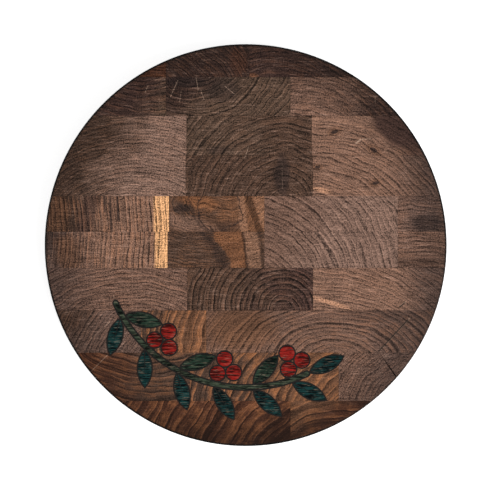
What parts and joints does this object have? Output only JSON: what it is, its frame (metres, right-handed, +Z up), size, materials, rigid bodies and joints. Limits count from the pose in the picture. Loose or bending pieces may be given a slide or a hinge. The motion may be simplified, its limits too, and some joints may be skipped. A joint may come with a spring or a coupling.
{
  "type": "round cutting board",
  "caption": "Round end-grain cutting board glued up from staggered walnut blocks, with eased edges and a coloured sprig inlay in its work face.",
  "frame": {"origin": "centre of the underside, on the surface that the board lies on", "axes": "+Z up out of the work face, +Y to the back of the board, +X to its right, as seen in use"},
  "size_m": [0.3, 0.3, 0.032],
  "materials": {
    "walnut_heart": "oiled end grain",
    "walnut_dark": "oiled end grain",
    "walnut_red": "oiled end grain",
    "walnut_taupe": "oiled end grain",
    "walnut_grey": "oiled end grain",
    "walnut_orange": "oiled end grain",
    "walnut_pink": "oiled end grain",
    "walnut_pale": "oiled end grain",
    "inlay_red": "sanded satin resin",
    "inlay_teal": "sanded satin resin",
    "inlay_green": "sanded satin resin",
    "inlay_filler": "matt dark filler"
  },
  "bodies": {
    "root": {"berry_1": "inlay_red", "berry_2": "inlay_red", "berry_3": "inlay_red", "berry_4": "inlay_red", "berry_5": "inlay_red", "berry_6": "inlay_red", "berry_7": "inlay_red", "berry_8": "inlay_red", "berry_9": "inlay_red", "inlay_filler": "inlay_filler", "inlay_stem": "inlay_green", "inner_leaf_1": "inlay_green", "inner_leaf_2": "inlay_green", "inner_leaf_3": "inlay_green", "outer_leaf_1": "inlay_teal", "outer_leaf_2": "inlay_teal", "outer_leaf_3": "inlay_teal", "outer_leaf_4": "inlay_teal", "outer_leaf_5": "inlay_teal", "outer_leaf_6": "inlay_teal", "row_01_block_1": "walnut_red", "row_01_block_2": "walnut_heart", "row_01_block_3": "walnut_heart", "row_02_block_1": "walnut_dark", "row_02_block_2": "walnut_dark", "row_02_block_3": "walnut_orange", "row_03_block_1": "walnut_pink", "row_03_block_2": "walnut_taupe", "row_03_block_3": "walnut_pink", "row_04_block_1": "walnut_pink", "row_04_block_2": "walnut_taupe", "row_04_block_3": "walnut_pale", "row_05_block_1": "walnut_pink", "row_05_block_2": "walnut_orange", "row_05_block_3": "walnut_pale", "row_05_block_4": "walnut_grey", "row_06_block_1": "walnut_pale", "row_06_block_2": "walnut_orange", "row_06_block_3": "walnut_pale", "row_06_block_4": "walnut_orange", "row_07_block_1": "walnut_pink", "row_07_block_2": "walnut_taupe", "row_07_block_3": "walnut_pale", "row_08_block_1": "walnut_grey", "row_08_block_2": "walnut_orange", "row_08_block_3": "walnut_pink", "row_09_block_1": "walnut_red", "row_09_block_2": "walnut_orange", "row_09_block_3": "walnut_grey", "row_10_block_1": "walnut_red", "row_10_block_2": "walnut_dark", "tip_leaf_1": "inlay_teal"}
  },
  "joints": []
}
